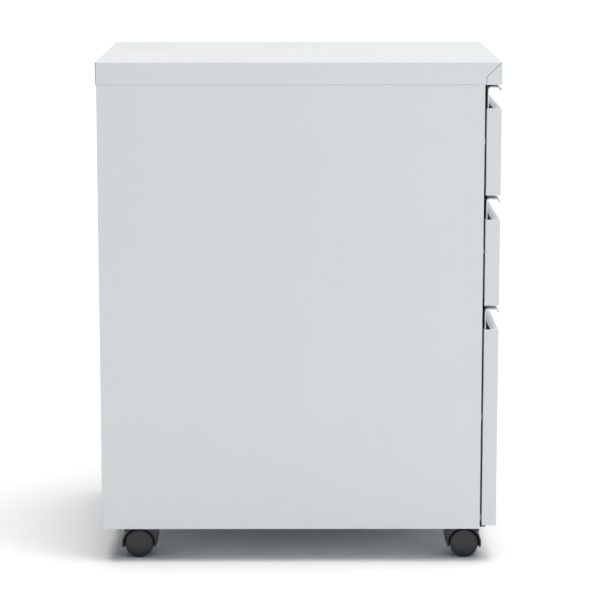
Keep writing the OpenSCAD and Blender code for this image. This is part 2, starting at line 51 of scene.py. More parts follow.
def powder_coat(name, colour, rough=0.38, grain=0.0012, bump=0.2):
    """Baked powder coat: a fine orange-peel surface with faint clouds of shade and gloss."""
    mat = bpy.data.materials.new(name)
    mat.use_nodes = True
    nodes, links = mat.node_tree.nodes, mat.node_tree.links
    shader = nodes["Principled BSDF"]
    shader.inputs["Specular IOR Level"].default_value = 0.5
    where = nodes.new("ShaderNodeTexCoord").outputs["Object"]

    clouds = nodes.new("ShaderNodeTexNoise")
    clouds.inputs["Scale"].default_value = 5.5
    clouds.inputs["Detail"].default_value = 4.0
    links.new(where, clouds.inputs["Vector"])
    shade = nodes.new("ShaderNodeMix")
    shade.data_type = "RGBA"
    drift = 0.015
    shade.inputs["A"].default_value = (*[c * (1 - drift) for c in colour], 1)
    shade.inputs["B"].default_value = (*[min(1, c * (1 + drift)) for c in colour], 1)
    links.new(clouds.outputs["Fac"], shade.inputs["Factor"])
    links.new(shade.outputs["Result"], shader.inputs["Base Color"])

    spread = nodes.new("ShaderNodeMapRange")
    spread.inputs["To Min"].default_value = rough - 0.05
    spread.inputs["To Max"].default_value = rough + 0.06
    links.new(clouds.outputs["Fac"], spread.inputs["Value"])
    links.new(spread.outputs["Result"], shader.inputs["Roughness"])

    peel = nodes.new("ShaderNodeTexNoise")
    peel.inputs["Scale"].default_value = 1 / grain
    peel.inputs["Detail"].default_value = 2.0
    links.new(where, peel.inputs["Vector"])
    relief = nodes.new("ShaderNodeBump")
    relief.inputs["Strength"].default_value = bump
    relief.inputs["Distance"].default_value = 0.0004
    links.new(peel.outputs["Fac"], relief.inputs["Height"])
    links.new(relief.outputs["Normal"], shader.inputs["Normal"])
    return mat


def cad_copy(node, piece, material, ease):
    """A merged copy of a CAD node's mesh in one finish. ease gives each sharp edge its bevel weight."""
    flat, sharp = math.radians(2), math.radians(25)
    mesh = bpy.data.meshes.new(piece)
    bm = bmesh.new()
    bm.from_mesh(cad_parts[node].data)
    bmesh.ops.remove_doubles(bm, verts=bm.verts, dist=1e-6)
    bmesh.ops.dissolve_limit(bm, angle_limit=flat, verts=bm.verts, edges=bm.edges)
    weights = bm.edges.layers.float.new("bevel_weight_edge")
    for edge in bm.edges:
        if len(edge.link_faces) == 2 and abs(edge.calc_face_angle(0)) > sharp:
            edge[weights] = ease(edge)
    bm.to_mesh(mesh)
    bm.free()
    if "custom_normal" in mesh.attributes:
        mesh.attributes.remove(mesh.attributes["custom_normal"])
    obj = bpy.data.objects.new(piece, mesh)
    bpy.context.scene.collection.objects.link(obj)
    mesh.materials.clear()
    mesh.materials.append(material)
    mesh.shade_smooth()
    return obj


def width_beside(loop):
    """How wide the face is beside one of its edges, measured square across from the edge's middle."""
    a, b = loop.vert.co, loop.link_loop_next.vert.co
    middle, along = (a + b) / 2, (b - a).normalized()
    inward = loop.face.normal.cross(along)
    nearest = math.inf
    for other in loop.face.loops:
        p, q = other.vert.co - middle, other.link_loop_next.vert.co - middle
        s, t = p.dot(along), q.dot(along)
        if other is not loop and s * t < 0:
            depth = (p + (q - p) * s / (s - t)).dot(inward)
            if depth > 1e-6:
                nearest = min(nearest, depth)
    return nearest


def rounded(obj, width, limit="WEIGHT", segments=3):
    """Rounds an object's edges and keeps the flats beside them flat."""
    mod = obj.modifiers.new("rounding", "BEVEL")
    mod.limit_method = limit
    mod.width = width
    mod.segments = segments
    mod.harden_normals = True
    mod.use_clamp_overlap = False
    return obj


def folded(node, piece, material, bend=0.0008, inside=0.0003, cut=0.00016, sheet=0.0013):
    """A CAD sheet part with rounded edges: wide outside a fold, tight inside it, fine on the cut edges."""
    def ease(edge):
        if min(width_beside(loop) for loop in edge.link_loops) < sheet:
            return cut / bend
        if min(2 * f.calc_area() / f.calc_perimeter() for f in edge.link_faces) < sheet:
            return cut / bend
        return 1 if edge.is_convex else inside / bend

    return rounded(cad_copy(node, piece, material, ease), bend)


def fit(piece, body, slot, *nodes):
    """Lets a finished piece ride on its body and stand for its CAD nodes. The slot is not used."""
    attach(piece, body)
    if nodes:
        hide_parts(*nodes)


body_paint = powder_coat("body_powder_coat", (0.745, 0.777, 0.807))

for node in ("top_panel", "front_rail"):
    fit(folded(node, node + "_folded", body_paint, cut=0.0001), "cabinet", "body_paint", node)

# ---- Side panels, back and base ----
# Each side is one sheet with flanges turned inwards along its edges. The back, the base and the angle under
# the slab are spot-welded between them, which leaves a row of shallow dents down each rear flange.

for node in ("back_panel", "base_panel", "top_cross_rail"):
    fit(folded(node, node + "_folded", body_paint), "cabinet", "body_paint", node)


def geometry_tree(name, sizes):
    """A geometry tree with named inputs. Returns the tree, a function that adds a node, and both ends."""
    tree = bpy.data.node_groups.new(name, "GeometryNodeTree")
    tree.interface.new_socket("Geometry", in_out="INPUT", socket_type="NodeSocketGeometry")
    for label, kind in sizes:
        tree.interface.new_socket(label, in_out="INPUT", socket_type="NodeSocket" + kind)
    tree.interface.new_socket("Geometry", in_out="OUTPUT", socket_type="NodeSocketGeometry")

    def add(kind, feeds=(), **settings):
        """Adds a node; feeds maps its input sockets to a value or to the output that feeds them."""
        node = tree.nodes.new(kind)
        for key, value in settings.items():
            setattr(node, key, value)
        for key, value in dict(feeds).items():
            if isinstance(value, bpy.types.NodeSocket):
                tree.links.new(value, node.inputs[key])
            else:
                node.inputs[key].default_value = value
        return node

    return tree, add, tree.nodes.new("NodeGroupInput"), tree.nodes.new("NodeGroupOutput")


def grown(obj, tree, sizes):
    """Runs a tree on an object with its named sizes, and keeps the plain mesh that comes out."""
    graph = bpy.context.evaluated_depsgraph_get()
    mod = obj.modifiers.new("grown", "NODES")
    mod.node_group = tree
    for item in tree.interface.items_tree:
        if item.in_out == "INPUT" and item.name in sizes:
            mod[item.identifier] = sizes[item.name]
    graph.update()
    mesh = bpy.data.meshes.new_from_object(obj.evaluated_get(graph), depsgraph=graph)
    obj.modifiers.clear()
    obj.data = mesh
    return obj


def spot_weld_tree():
    """Presses a shallow round dent, such as a welding electrode leaves, at every point tagged as a weld."""
    tree, add, given, made = geometry_tree("spot_weld_dents", [
        ("Dent Radius", "Float"), ("Dent Depth", "Float"), ("Finish", "Material")])
    size = given.outputs
    tag = add("GeometryNodeInputNamedAttribute", {"Name": "weld"}, data_type="BOOLEAN")
    parts = add("GeometryNodeSeparateGeometry", {
        "Geometry": size["Geometry"], "Selection": tag.outputs[0]}, domain="POINT")
    tip = add("GeometryNodeMeshUVSphere", {
        "Segments": 20, "Rings": 12, "Radius": size["Dent Radius"]})
    flat = add("ShaderNodeMath", {0: size["Dent Depth"], 1: size["Dent Radius"]}, operation="DIVIDE")
    scale = add("ShaderNodeCombineXYZ", {"X": 1.0, "Y": flat.outputs[0], "Z": 1.0})
    marks = add("GeometryNodeInstanceOnPoints", {
        "Points": parts.outputs["Selection"], "Instance": tip.outputs["Mesh"], "Scale": scale.outputs[0]})
    tips = add("GeometryNodeRealizeInstances", {"Geometry": marks.outputs[0]})
    dented = add("GeometryNodeMeshBoolean", {
        "Mesh 1": parts.outputs["Inverted"], "Mesh 2": tips.outputs[0]},
        operation="DIFFERENCE", solver="EXACT")
    plain = add("GeometryNodeRealizeInstances", {"Geometry": dented.outputs[0]})
    coat = add("GeometryNodeSetMaterial", {"Geometry": plain.outputs[0], "Material": size["Finish"]})
    tree.links.new(coat.outputs[0], made.inputs[0])
    return tree


def tagged(obj, name, spots):
    """Adds loose points to a mesh, tagged with an attribute for a tree to find."""
    bm = bmesh.new()
    bm.from_mesh(obj.data)
    tag = bm.verts.layers.bool.new(name)
    for spot in spots:
        bm.verts.new(spot)[tag] = True
    bm.to_mesh(obj.data)
    bm.free()
    return obj


weld_dents = spot_weld_tree()
weld_r = 0.0028
weld_depth = 0.00022
weld_pitch = 0.065
weld_inset = 0.008
weld_ends = 0.03
for node in ("side_panel_left", "side_panel_right"):
    low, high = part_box(node)
    first, last = low[2] + weld_ends, high[2] - weld_ends
    rows = int((last - first) / weld_pitch)
    weld_x = low[0] + weld_inset if node.endswith("left") else high[0] - weld_inset
    welds = [(weld_x, high[1], first + (last - first) * i / rows) for i in range(rows + 1)]
    side = tagged(folded(node, node + "_folded", body_paint), "weld", welds)
    grown(side, weld_dents, {"Dent Radius": weld_r, "Dent Depth": weld_depth, "Finish": body_paint})
    fit(side, "cabinet", "body_paint", node)

# ---- Posts and caster rails ----
# Four uprights, two inside each side panel, carry the slides, and two channels across the base take the
# casters' stems. All are bent from sheet and coated thinly, as nobody sees them with the drawers shut. Their
# coat's darker grey is painted shade: it stands in for the dark inside the deep slots between fronts and
# sides.

# The darker grey of this coat is painted shade, standing in for the dark inside the deep slots.
inner_paint = powder_coat("shade_darkened_inner_coat", (0.5, 0.53, 0.55), rough=0.5, grain=0.0016, bump=0.12)

for node in ("slide_posts", "caster_rails"):
    fit(folded(node, node + "_folded", inner_paint), "cabinet", "inner_paint", node)

# ---- Drawer fronts ----
# Each front is a pan folded from one steel sheet: face, two side returns, a bottom flange and a ledge under
# the open finger recess. It is screwed to its tray from the inside.

front_paint = powder_coat("front_powder_coat", (0.735, 0.768, 0.8))

for number in (1, 2, 3):
    node = f"drawer_{number}_front"
    fit(folded(node, node + "_folded", front_paint), f"drawer_{number}", "front_paint", node)

# ---- Finger pulls ----
# The back plate of each front rises behind the recess and rolls forwards over it, ending in a short lip.
# The plate is 1.2 mm steel; its two rolls have an outer radius of 4 mm, and it is coated with the front.

pull_t = 0.0012
roll_r = 0.004
lip = 0.0055
recess = 0.0275
plate_inset = 0.0012


def arc(centre, radius, start, end, steps=10):
    """Points along an arc; angles in degrees, counted from the first axis towards the second."""
    turns = [math.radians(start + (end - start) * i / steps) for i in range(steps + 1)]
    return [(centre[0] + radius * math.cos(t), centre[1] + radius * math.sin(t)) for t in turns]


def strip(path, thickness):
    """The closed outline of a strip of sheet whose middle follows the path."""
    sides = ([], [])
    for i, (a, b) in enumerate(path):
        before, after = path[max(i - 1, 0)], path[min(i + 1, len(path) - 1)]
        along = Vector((after[0] - before[0], after[1] - before[1])).normalized()
        for side, sign in zip(sides, (1, -1)):
            side.append((a - sign * along.y * thickness / 2, b + sign * along.x * thickness / 2))
    return sides[0] + sides[1][::-1]


def drawn(name, material, shapes, place):
    """Outlines drawn out along an axis. A shape is (outline, start, end); place makes (a, b, t) a point."""
    bm = bmesh.new()
    for outline, start, end in shapes:
        rings = [[bm.verts.new(place(a, b, t)) for a, b in outline] for t in (start, end)]
        for ring in rings:
            bm.faces.new(ring)
        for i in range(len(outline)):
            j = (i + 1) % len(outline)
            bm.faces.new((rings[0][i], rings[0][j], rings[1][j], rings[1][i]))
    bmesh.ops.recalc_face_normals(bm, faces=bm.faces)
    mesh = bpy.data.meshes.new(name)
    bm.to_mesh(mesh)
    bm.free()
    mesh.materials.append(material)
    mesh.shade_smooth()
    obj = bpy.data.objects.new(name, mesh)
    bpy.context.scene.collection.objects.link(obj)
    return obj


for number in (1, 2, 3):
    node = f"drawer_{number}_pull"
    low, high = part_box(node)
    back, front, top = high[1] - pull_t / 2, low[1], high[2]
    middle_r = roll_r - pull_t / 2
    hook = [(back, top - recess)]
    hook += arc((high[1] - roll_r, top - roll_r), middle_r, 0, 90)
    hook += arc((front + roll_r, top - roll_r), middle_r, 90, 180)
    hook += [(front + pull_t / 2, top - lip)]
    plate = [(high[1] - pull_t, low[2]), (high[1], low[2]),
             (high[1], top - recess), (high[1] - pull_t, top - recess)]
    pull = drawn(node + "_rolled", front_paint, [
        (strip(hook, pull_t), low[0], high[0]),
        (plate, low[0] + plate_inset, high[0] - plate_inset)], lambda y, z, x: (x, y, z))
    fit(rounded(pull, 0.00025, "ANGLE", 2), f"drawer_{number}", "front_paint", node)

# ---- Trays and folder rails ----
# Each tray is a floor and two sides folded from one sheet, with two ends welded in and an edge turned
# outwards round its top. The file tray carries two upright zinc-plated strips for hanging folders.

# The trays take the inner coat, whose darker grey is painted shade.
for number in (1, 2, 3):
    for node in (f"drawer_{number}_tray", f"drawer_{number}_tray_ends"):
        fit(folded(node, node + "_folded", inner_paint), f"drawer_{number}", "inner_paint", node)


def plated(name, colour, rough, stretch=(1, 1, 1), streak=0.5):
    """Metal plate with soft streaks of tone and gloss along the way it was rolled or turned."""
    mat = bpy.data.materials.new(name)
    mat.use_nodes = True
    nodes, links = mat.node_tree.nodes, mat.node_tree.links
    shader = nodes["Principled BSDF"]
    shader.inputs["Metallic"].default_value = 1.0
    where = nodes.new("ShaderNodeTexCoord").outputs["Object"]
    lay = nodes.new("ShaderNodeMapping")
    lay.inputs["Scale"].default_value = stretch
    links.new(where, lay.inputs["Vector"])

    grain = nodes.new("ShaderNodeTexNoise")
    grain.inputs["Scale"].default_value = 260
    grain.inputs["Detail"].default_value = 5.0
    links.new(lay.outputs["Vector"], grain.inputs["Vector"])
    bloom = nodes.new("ShaderNodeTexNoise")
    bloom.inputs["Scale"].default_value = 38
    bloom.inputs["Detail"].default_value = 3.0
    links.new(where, bloom.inputs["Vector"])
    both = nodes.new("ShaderNodeMath")
    both.operation = "MULTIPLY_ADD"
    both.inputs[1].default_value = streak
    links.new(grain.outputs["Fac"], both.inputs[0])
    links.new(bloom.outputs["Fac"], both.inputs[2])

    tone = nodes.new("ShaderNodeValToRGB")
    tone.color_ramp.elements[0].position = 0.35
    tone.color_ramp.elements[0].color = (*[c * 0.82 for c in colour], 1)
    tone.color_ramp.elements[1].position = 1.0
    tone.color_ramp.elements[1].color = (*[min(1, c * 1.08) for c in colour], 1)
    links.new(both.outputs["Value"], tone.inputs["Fac"])
    links.new(tone.outputs["Color"], shader.inputs["Base Color"])
    gloss = nodes.new("ShaderNodeMapRange")
    gloss.inputs["From Min"].default_value = 0.3
    gloss.inputs["From Max"].default_value = 1.1
    gloss.inputs["To Min"].default_value = rough * 0.75
    gloss.inputs["To Max"].default_value = rough * 1.35
    links.new(both.outputs["Value"], gloss.inputs["Value"])
    links.new(gloss.outputs["Result"], shader.inputs["Roughness"])
    relief = nodes.new("ShaderNodeBump")
    relief.inputs["Strength"].default_value = 0.12
    relief.inputs["Distance"].default_value = 0.0002
    links.new(grain.outputs["Fac"], relief.inputs["Height"])
    links.new(relief.outputs["Normal"], shader.inputs["Normal"])
    return mat


zinc = plated("zinc_plate", (0.62, 0.64, 0.66), 0.34, stretch=(1, 0.06, 1))
fit(folded("folder_rails", "folder_rails_folded", zinc, bend=0.0006, sheet=0.0008),
    "drawer_3", "zinc", "folder_rails")

# ---- Slides ----
# Roll-formed zinc-plated channels: an outer one riveted to the posts and an inner one fixed to each tray,
# with a third between them on the file drawer. Their webs are punched with round holes and oblong slots.


def punching_tree():
    """Punches a row of oblong holes along +Y through everything that stands across X."""
    tree, add, given, made = geometry_tree("punched_row", [
        ("First", "Vector"), ("Pitch", "Float"), ("Count", "Int"), ("Hole Radius", "Float"),
        ("Hole Length", "Float"), ("Reach", "Float"), ("Finish", "Material")])
    size = given.outputs
    step = add("ShaderNodeCombineXYZ", {"Y": size["Pitch"]})
    row = add("GeometryNodeMeshLine", {
        "Count": size["Count"], "Start Location": size["First"], "Offset": step.outputs[0]}, mode="OFFSET")
    punch = add("GeometryNodeMeshCylinder", {
        "Vertices": 20, "Radius": size["Hole Radius"], "Depth": size["Reach"]})
    half = add("ShaderNodeMath", {0: size["Hole Length"], 1: 0.5}, operation="MULTIPLY")
    back = add("ShaderNodeMath", {0: half.outputs[0], 1: -1.0}, operation="MULTIPLY")
    ends = add("GeometryNodeJoinGeometry")
    for end in (half, back):
        shift = add("ShaderNodeCombineXYZ", {"Y": end.outputs[0]})
        moved = add("GeometryNodeTransform", {
            "Geometry": punch.outputs["Mesh"], "Translation": shift.outputs[0],
            "Rotation": (0, math.pi / 2, 0)})
        tree.links.new(moved.outputs[0], ends.inputs[0])
    oblong = add("GeometryNodeConvexHull", {"Geometry": ends.outputs[0]})
    copies = add("GeometryNodeInstanceOnPoints", {
        "Points": row.outputs[0], "Instance": oblong.outputs[0]})
    cutters = add("GeometryNodeRealizeInstances", {"Geometry": copies.outputs[0]})
    cut = add("GeometryNodeMeshBoolean", {
        "Mesh 1": size["Geometry"], "Mesh 2": cutters.outputs[0]}, operation="DIFFERENCE", solver="EXACT")
    plain = add("GeometryNodeRealizeInstances", {"Geometry": cut.outputs[0]})
    coat = add("GeometryNodeSetMaterial", {"Geometry": plain.outputs[0], "Material": size["Finish"]})
    tree.links.new(coat.outputs[0], made.inputs[0])
    return tree


punching = punching_tree()
slot_r = 0.0022
slot_l = 0.007
hole_r = 0.0026
plain_end = 0.02
across_both = 0.5


def slide_member(node, body, first, pitch):
    """A channel from the CAD with rolled bends, then a row of slots with a row of round holes between."""
    low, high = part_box(node)
    level = (low[2] + high[2]) / 2
    piece = folded(node, node + "_rolled", zinc, bend=0.0009, inside=0.0004, cut=0.0002, sheet=0.0014)
    count = int((high[1] - low[1] - first - plain_end) / pitch)
    for start, radius, length in ((first, slot_r, slot_l), (first + pitch / 2, hole_r, 0.0)):
        grown(piece, punching, {
            "First": (0, low[1] + start, level), "Pitch": pitch, "Count": count, "Hole Radius": radius,
            "Hole Length": length, "Reach": across_both, "Finish": zinc})
    fit(piece, body, "zinc", node)


for number in (1, 2, 3):
    slide_member(f"slide_outer_{number}", "cabinet", first=0.066, pitch=0.08)
    slide_member(f"slide_inner_{number}", f"drawer_{number}", first=0.05, pitch=0.1)
slide_member("slide_mid_3", "slide_3_middle", first=0.06, pitch=0.11)

# ---- Ball cages ----
# Each pair of channels runs on two rows of steel balls, held at their pitch by a thin bent strip with a hole
# for every ball. A cage stays halfway between the two members that it separates.

ball_steel = plated("ball_steel", (0.7, 0.7, 0.71), 0.1, streak=0.2)
ball_r = 0.002
ball_gap = 0.00005
cage_t = 0.0006
cage_bend = 0.0006
cage_ease = 0.0005
ball_inset = 0.0007


def cage_trees():
    """One tree pierces a strip for its balls, the other fills the holes with balls."""
    trees = []
    for name in ("cage_holes", "cage_balls"):
        tree, add, given, made = geometry_tree(name, [
            ("Ball Radius", "Float"), ("Ball Gap", "Float"), ("Strip", "Float"), ("Finish", "Material")])
        size = given.outputs
        if name == "cage_holes":
            room = add("ShaderNodeMath", {0: size["Ball Radius"], 1: size["Ball Gap"]}, operation="ADD")
            depth = add("ShaderNodeMath", {0: size["Strip"], 1: 3.0}, operation="MULTIPLY")
            part = add("GeometryNodeMeshCylinder", {
                "Vertices": 20, "Radius": room.outputs[0], "Depth": depth.outputs[0]}).outputs["Mesh"]
            tag = add("GeometryNodeInputNamedAttribute", {"Name": "ball_place"}, data_type="BOOLEAN")
            spots = add("GeometryNodeSeparateGeometry", {
                "Geometry": size["Geometry"], "Selection": tag.outputs[0]}, domain="POINT")
            copies = add("GeometryNodeInstanceOnPoints", {
                "Points": spots.outputs["Selection"], "Instance": part})
            cutters = add("GeometryNodeRealizeInstances", {"Geometry": copies.outputs[0]})
            shape = add("GeometryNodeMeshBoolean", {
                "Mesh 1": spots.outputs["Inverted"], "Mesh 2": cutters.outputs[0]},
                operation="DIFFERENCE", solver="EXACT")
        else:
            part = add("GeometryNodeMeshUVSphere", {
                "Segments": 16, "Rings": 10, "Radius": size["Ball Radius"]})
            round_part = add("GeometryNodeSetShadeSmooth", {"Geometry": part.outputs["Mesh"]})
            shape = add("GeometryNodeInstanceOnPoints", {
                "Points": size["Geometry"], "Instance": round_part.outputs[0]})
        plain = add("GeometryNodeRealizeInstances", {"Geometry": shape.outputs[0]})
        coat = add("GeometryNodeSetMaterial", {"Geometry": plain.outputs[0], "Material": size["Finish"]})
        tree.links.new(coat.outputs[0], made.inputs[0])
        trees.append(tree)
    return trees


hole_tree, ball_tree = cage_trees()


def places(name, spots):
    """An object of loose points for a tree to grow on. Each spot is (place, direction that it faces)."""
    mesh = bpy.data.meshes.new(name)
    mesh.from_pydata([place for place, facing in spots], [], [])
    turn = mesh.attributes.new("turn", "FLOAT_VECTOR", "POINT")
    for spot, (place, facing) in zip(turn.data, spots):
        spot.vector = Vector(facing).to_track_quat("Z", "Y").to_euler()
    obj = bpy.data.objects.new(name, mesh)
    bpy.context.scene.collection.objects.link(obj)
    return obj


def cage_x(node):
    """How far from the middle the free ends of a cage's flanges stand."""
    return min(v.co.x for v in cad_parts[node].data.vertices if v.co.x > 0)


def ball_cage(node, body, balls):
    """The strips and balls of both sides, in the room that the CAD cage takes between its channels."""
    low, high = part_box(node)
    level = (low[2] + high[2]) / 2
    row = (high[2] - low[2]) / 2 - ball_r
    line = high[0] - cage_t / 2
    flange_end = cage_x(node)
    ball_x = flange_end + ball_r + ball_inset
    middle = [(flange_end, row), (line - cage_bend, row)]
    middle += arc((line - cage_bend, row - cage_bend), cage_bend, 90, 0, 3)
    middle += [(a, -b) for a, b in middle[::-1]]
    shapes = [(strip([(side * a, level + b) for a, b in middle], cage_t),
               low[1] + cage_ease, high[1] - cage_ease) for side in (1, -1)]
    cage = drawn(node + "_strip", zinc, shapes, lambda x, z, y: (x, y, z))
    pitch = (high[1] - low[1]) / balls
    seats = [(side * ball_x, low[1] + pitch * (i + 0.5), level + up * row)
             for side in (1, -1) for up in (1, -1) for i in range(balls)]
    tagged(cage, "ball_place", seats)
    sizes = {"Ball Radius": ball_r, "Ball Gap": ball_gap, "Strip": cage_t}
    fit(grown(cage, hole_tree, {**sizes, "Finish": zinc}), body, "zinc", node)
    fit(grown(places(node + "_balls", [(seat, (0, 0, 1)) for seat in seats]), ball_tree,
              {**sizes, "Finish": ball_steel}), body, "bright_steel")


for body, balls in (("cage_1", 10), ("cage_2", 10), ("cage_3_outer", 20), ("cage_3_inner", 20)):
    ball_cage("slide_" + body, body, balls)

# ---- Slide rivets ----
# Each outer channel is held to its two posts by tubular rivets. The head closes on the back of the post, and
# the clinched end spreads to a shallow ring in the channel's web, low enough for the cage to pass.


def solids(node):
    """The lowest and highest corners of each separate solid in a CAD node."""
    bm = bmesh.new()
    bm.from_mesh(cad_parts[node].data)
    bmesh.ops.remove_doubles(bm, verts=bm.verts, dist=1e-6)
    left, boxes = set(bm.verts), []
    while left:
        reached, solid = [left.pop()], []
        while reached:
            vert = reached.pop()
            solid.append(vert.co.copy())
            fresh = {edge.other_vert(vert) for edge in vert.link_edges} & left
            left -= fresh
            reached += fresh
        boxes.append(tuple(Vector([pick(co[i] for co in solid) for i in range(3)])
                           for pick in (min, max)))
    bm.free()
    return sorted(boxes, key=lambda box: tuple(box[0]))


def fastener_tree(name, drive=None):
    """Sets a crowned head on a neck at every point of its host, turned as the point says."""
    tree, add, given, made = geometry_tree(name, [
        ("Head Radius", "Float"), ("Head Height", "Float"), ("Crown", "Float"), ("Neck Radius", "Float"),
        ("Neck Length", "Float"), ("Drive Size", "Float"), ("Finish", "Material")])
    size = given.outputs
    radius, height = size["Head Radius"], size["Head Height"]

    def calc(operation, a, b=0.0):
        return add("ShaderNodeMath", {0: a, 1: b}, operation=operation).outputs[0]

    blank = add("GeometryNodeMeshCylinder", {
        "Vertices": 28, "Side Segments": 2, "Fill Segments": 4, "Radius": radius, "Depth": height})
    at = add("ShaderNodeSeparateXYZ", {0: add("GeometryNodeInputPosition").outputs[0]}).outputs
    off_axis = calc("DIVIDE", calc("ADD", calc("POWER", at["X"], 2.0), calc("POWER", at["Y"], 2.0)),
                    calc("POWER", radius, 2.0))
    fall = calc("SUBTRACT", calc("SQRT", calc("SUBTRACT", 1.0, calc("MULTIPLY", off_axis, 0.96))), 1.0)
    upness = calc("ADD", calc("DIVIDE", at["Z"], height), 0.5)
    crowned = calc("MULTIPLY", calc("MULTIPLY", fall, upness), calc("MULTIPLY", height, size["Crown"]))
    level = calc("ADD", calc("ADD", at["Z"], crowned), calc("MULTIPLY", height, 0.5))
    place = add("ShaderNodeCombineXYZ", {"X": at["X"], "Y": at["Y"], "Z": level})
    head = add("GeometryNodeSetPosition", {
        "Geometry": blank.outputs["Mesh"], "Position": place.outputs[0]}).outputs[0]

    top = add("ShaderNodeCombineXYZ", {"Z": height}).outputs[0]
    if drive == "cross":
        thin = calc("MULTIPLY", size["Drive Size"], 0.2)
        for across, along in ((size["Drive Size"], thin), (thin, size["Drive Size"])):
            bar = add("ShaderNodeCombineXYZ", {"X": across, "Y": along, "Z": height}).outputs[0]
            blade = add("GeometryNodeMeshCube", {"Size": bar}).outputs["Mesh"]
            cutter = add("GeometryNodeTransform", {"Geometry": blade, "Translation": top}).outputs[0]
            head = add("GeometryNodeMeshBoolean", {
                "Mesh 1": head, "Mesh 2": cutter}, operation="DIFFERENCE", solver="EXACT").outputs[0]
    elif drive == "hole":
        bit = add("GeometryNodeMeshCone", {
            "Vertices": 16, "Radius Top": calc("MULTIPLY", size["Drive Size"], 0.6),
            "Radius Bottom": calc("MULTIPLY", size["Drive Size"], 0.4), "Depth": height})
        cutter = add("GeometryNodeTransform", {
            "Geometry": bit.outputs["Mesh"], "Translation": top}).outputs[0]
        head = add("GeometryNodeMeshBoolean", {
            "Mesh 1": head, "Mesh 2": cutter}, operation="DIFFERENCE", solver="EXACT").outputs[0]

    inside = calc("MULTIPLY", height, 0.3)
    neck = add("GeometryNodeMeshCylinder", {
        "Vertices": 20, "Radius": size["Neck Radius"], "Depth": calc("ADD", size["Neck Length"], inside)})
    lift = calc("MULTIPLY", calc("SUBTRACT", inside, size["Neck Length"]), 0.5)
    sink = add("ShaderNodeCombineXYZ", {"Z": lift})
    stood = add("GeometryNodeTransform", {"Geometry": neck.outputs["Mesh"], "Translation": sink.outputs[0]})
    whole = add("GeometryNodeJoinGeometry")
    for part in (head, stood.outputs[0]):
        tree.links.new(part, whole.inputs[0])
    soft = add("GeometryNodeSetShadeSmooth", {"Geometry": whole.outputs[0]})
    fold = calc("GREATER_THAN", add("GeometryNodeInputMeshEdgeAngle").outputs["Unsigned Angle"], 0.7)
    crisp = add("GeometryNodeSetShadeSmooth", {
        "Geometry": soft.outputs[0], "Selection": fold, "Shade Smooth": False}, domain="EDGE")
    turn = add("GeometryNodeInputNamedAttribute", {"Name": "turn"}, data_type="FLOAT_VECTOR")
    angle = add("FunctionNodeEulerToRotation", {0: turn.outputs[0]})
    copies = add("GeometryNodeInstanceOnPoints", {
        "Points": size["Geometry"], "Instance": crisp.outputs[0], "Rotation": angle.outputs[0]})
    plain = add("GeometryNodeRealizeInstances", {"Geometry": copies.outputs[0]})
    coat = add("GeometryNodeSetMaterial", {"Geometry": plain.outputs[0], "Material": size["Finish"]})
    tree.links.new(coat.outputs[0], made.inputs[0])
    return tree


rivet_tree = fastener_tree("tubular_rivets", "hole")


def fasteners(name, tree, spots, finish, radius, height, crown, neck_r, neck_l, drive=0.0):
    """One fastener at each (place, direction that its head faces)."""
    return grown(places(name, spots), tree, {
        "Head Radius": radius, "Head Height": height, "Crown": crown, "Neck Radius": neck_r,
        "Neck Length": neck_l, "Drive Size": drive, "Finish": finish})


head_t = 0.0012
clinch_t = 0.00025
heads, clinches = [], []
for low, high in solids("slide_rivets"):
    side = 1 if low.x > 0 else -1
    outer, inner = (high.x, low.x) if side > 0 else (low.x, high.x)
    y, z = (low.y + high.y) / 2, (low.z + high.z) / 2
    heads.append(((outer - side * head_t, y, z), (side, 0, 0)))
    clinches.append(((inner, y, z), (-side, 0, 0)))
fit(fasteners("slide_rivet_heads", rivet_tree, heads, zinc, radius=0.0035, height=head_t, crown=0.6,
              neck_r=0.002, neck_l=0.0022, drive=0.0022), "cabinet", "zinc", "slide_rivets")
fit(fasteners("slide_rivet_clinches", rivet_tree, clinches, zinc, radius=0.003, height=clinch_t, crown=0.7,
              neck_r=0.002, neck_l=0.001, drive=0.0026), "cabinet", "zinc")

# ---- Bumpers and glides ----
# Soft milky silicone buttons pushed into the front flanges stop the fronts from clanging shut, and moulded
# black nylon glides on the lower flange carry the heavy file front as it closes.


def moulded(name, colour, rough, grain, bump):
    """Moulded plastic: an even spark-eroded texture and a slight drift of shade and gloss."""
    mat = powder_coat(name, colour, rough, grain, bump)
    mat.node_tree.nodes["Principled BSDF"].inputs["Specular IOR Level"].default_value = 0.45
    return mat


silicone = moulded("milky_silicone", (0.62, 0.64, 0.64), 0.3, 0.0009, 0.05)
silicone.node_tree.nodes["Principled BSDF"].inputs["Subsurface Weight"].default_value = 0.25
silicone.node_tree.nodes["Principled BSDF"].inputs["Subsurface Scale"].default_value = 0.002
black_nylon = moulded("black_nylon", (0.022, 0.0235, 0.0255), 0.42, 0.0007, 0.14)

button_tree = fastener_tree("push_in_buttons")
widest_button = 0.02
buttons, glides = [], []
for low, high in solids("bumpers"):
    if high.x - low.x < widest_button:
        buttons.append((((low.x + high.x) / 2, high.y, (low.z + high.z) / 2), (0, -1, 0)))
    else:
        glides.append((low, high))
fit(fasteners("bumper_buttons", button_tree, buttons, silicone, radius=0.004, height=0.0022, crown=0.55,
              neck_r=0.002, neck_l=0.0006), "cabinet", "silicone", "bumpers")
ramp = 0.0015
glide_shapes = []
for low, high in glides:
    side_view = [(low.y, low.z), (high.y, low.z), (high.y, high.z),
                 (low.y + ramp, high.z), (low.y, high.z - ramp)]
    glide_shapes.append((side_view, low.x, high.x))
glide = drawn("front_glides", black_nylon, glide_shapes, lambda y, z, x: (x, y, z))
fit(rounded(glide, 0.0004, "ANGLE", 3), "cabinet", "hood_plastic")

# ---- Drawer fasteners ----
# Zinc-plated cross-recessed pan-head screws hold each front to its tray from the inside. A turned steel stud
# on the tray's right side is what the lock bar catches.

screw_tree = fastener_tree("cross_recessed_screws", "cross")


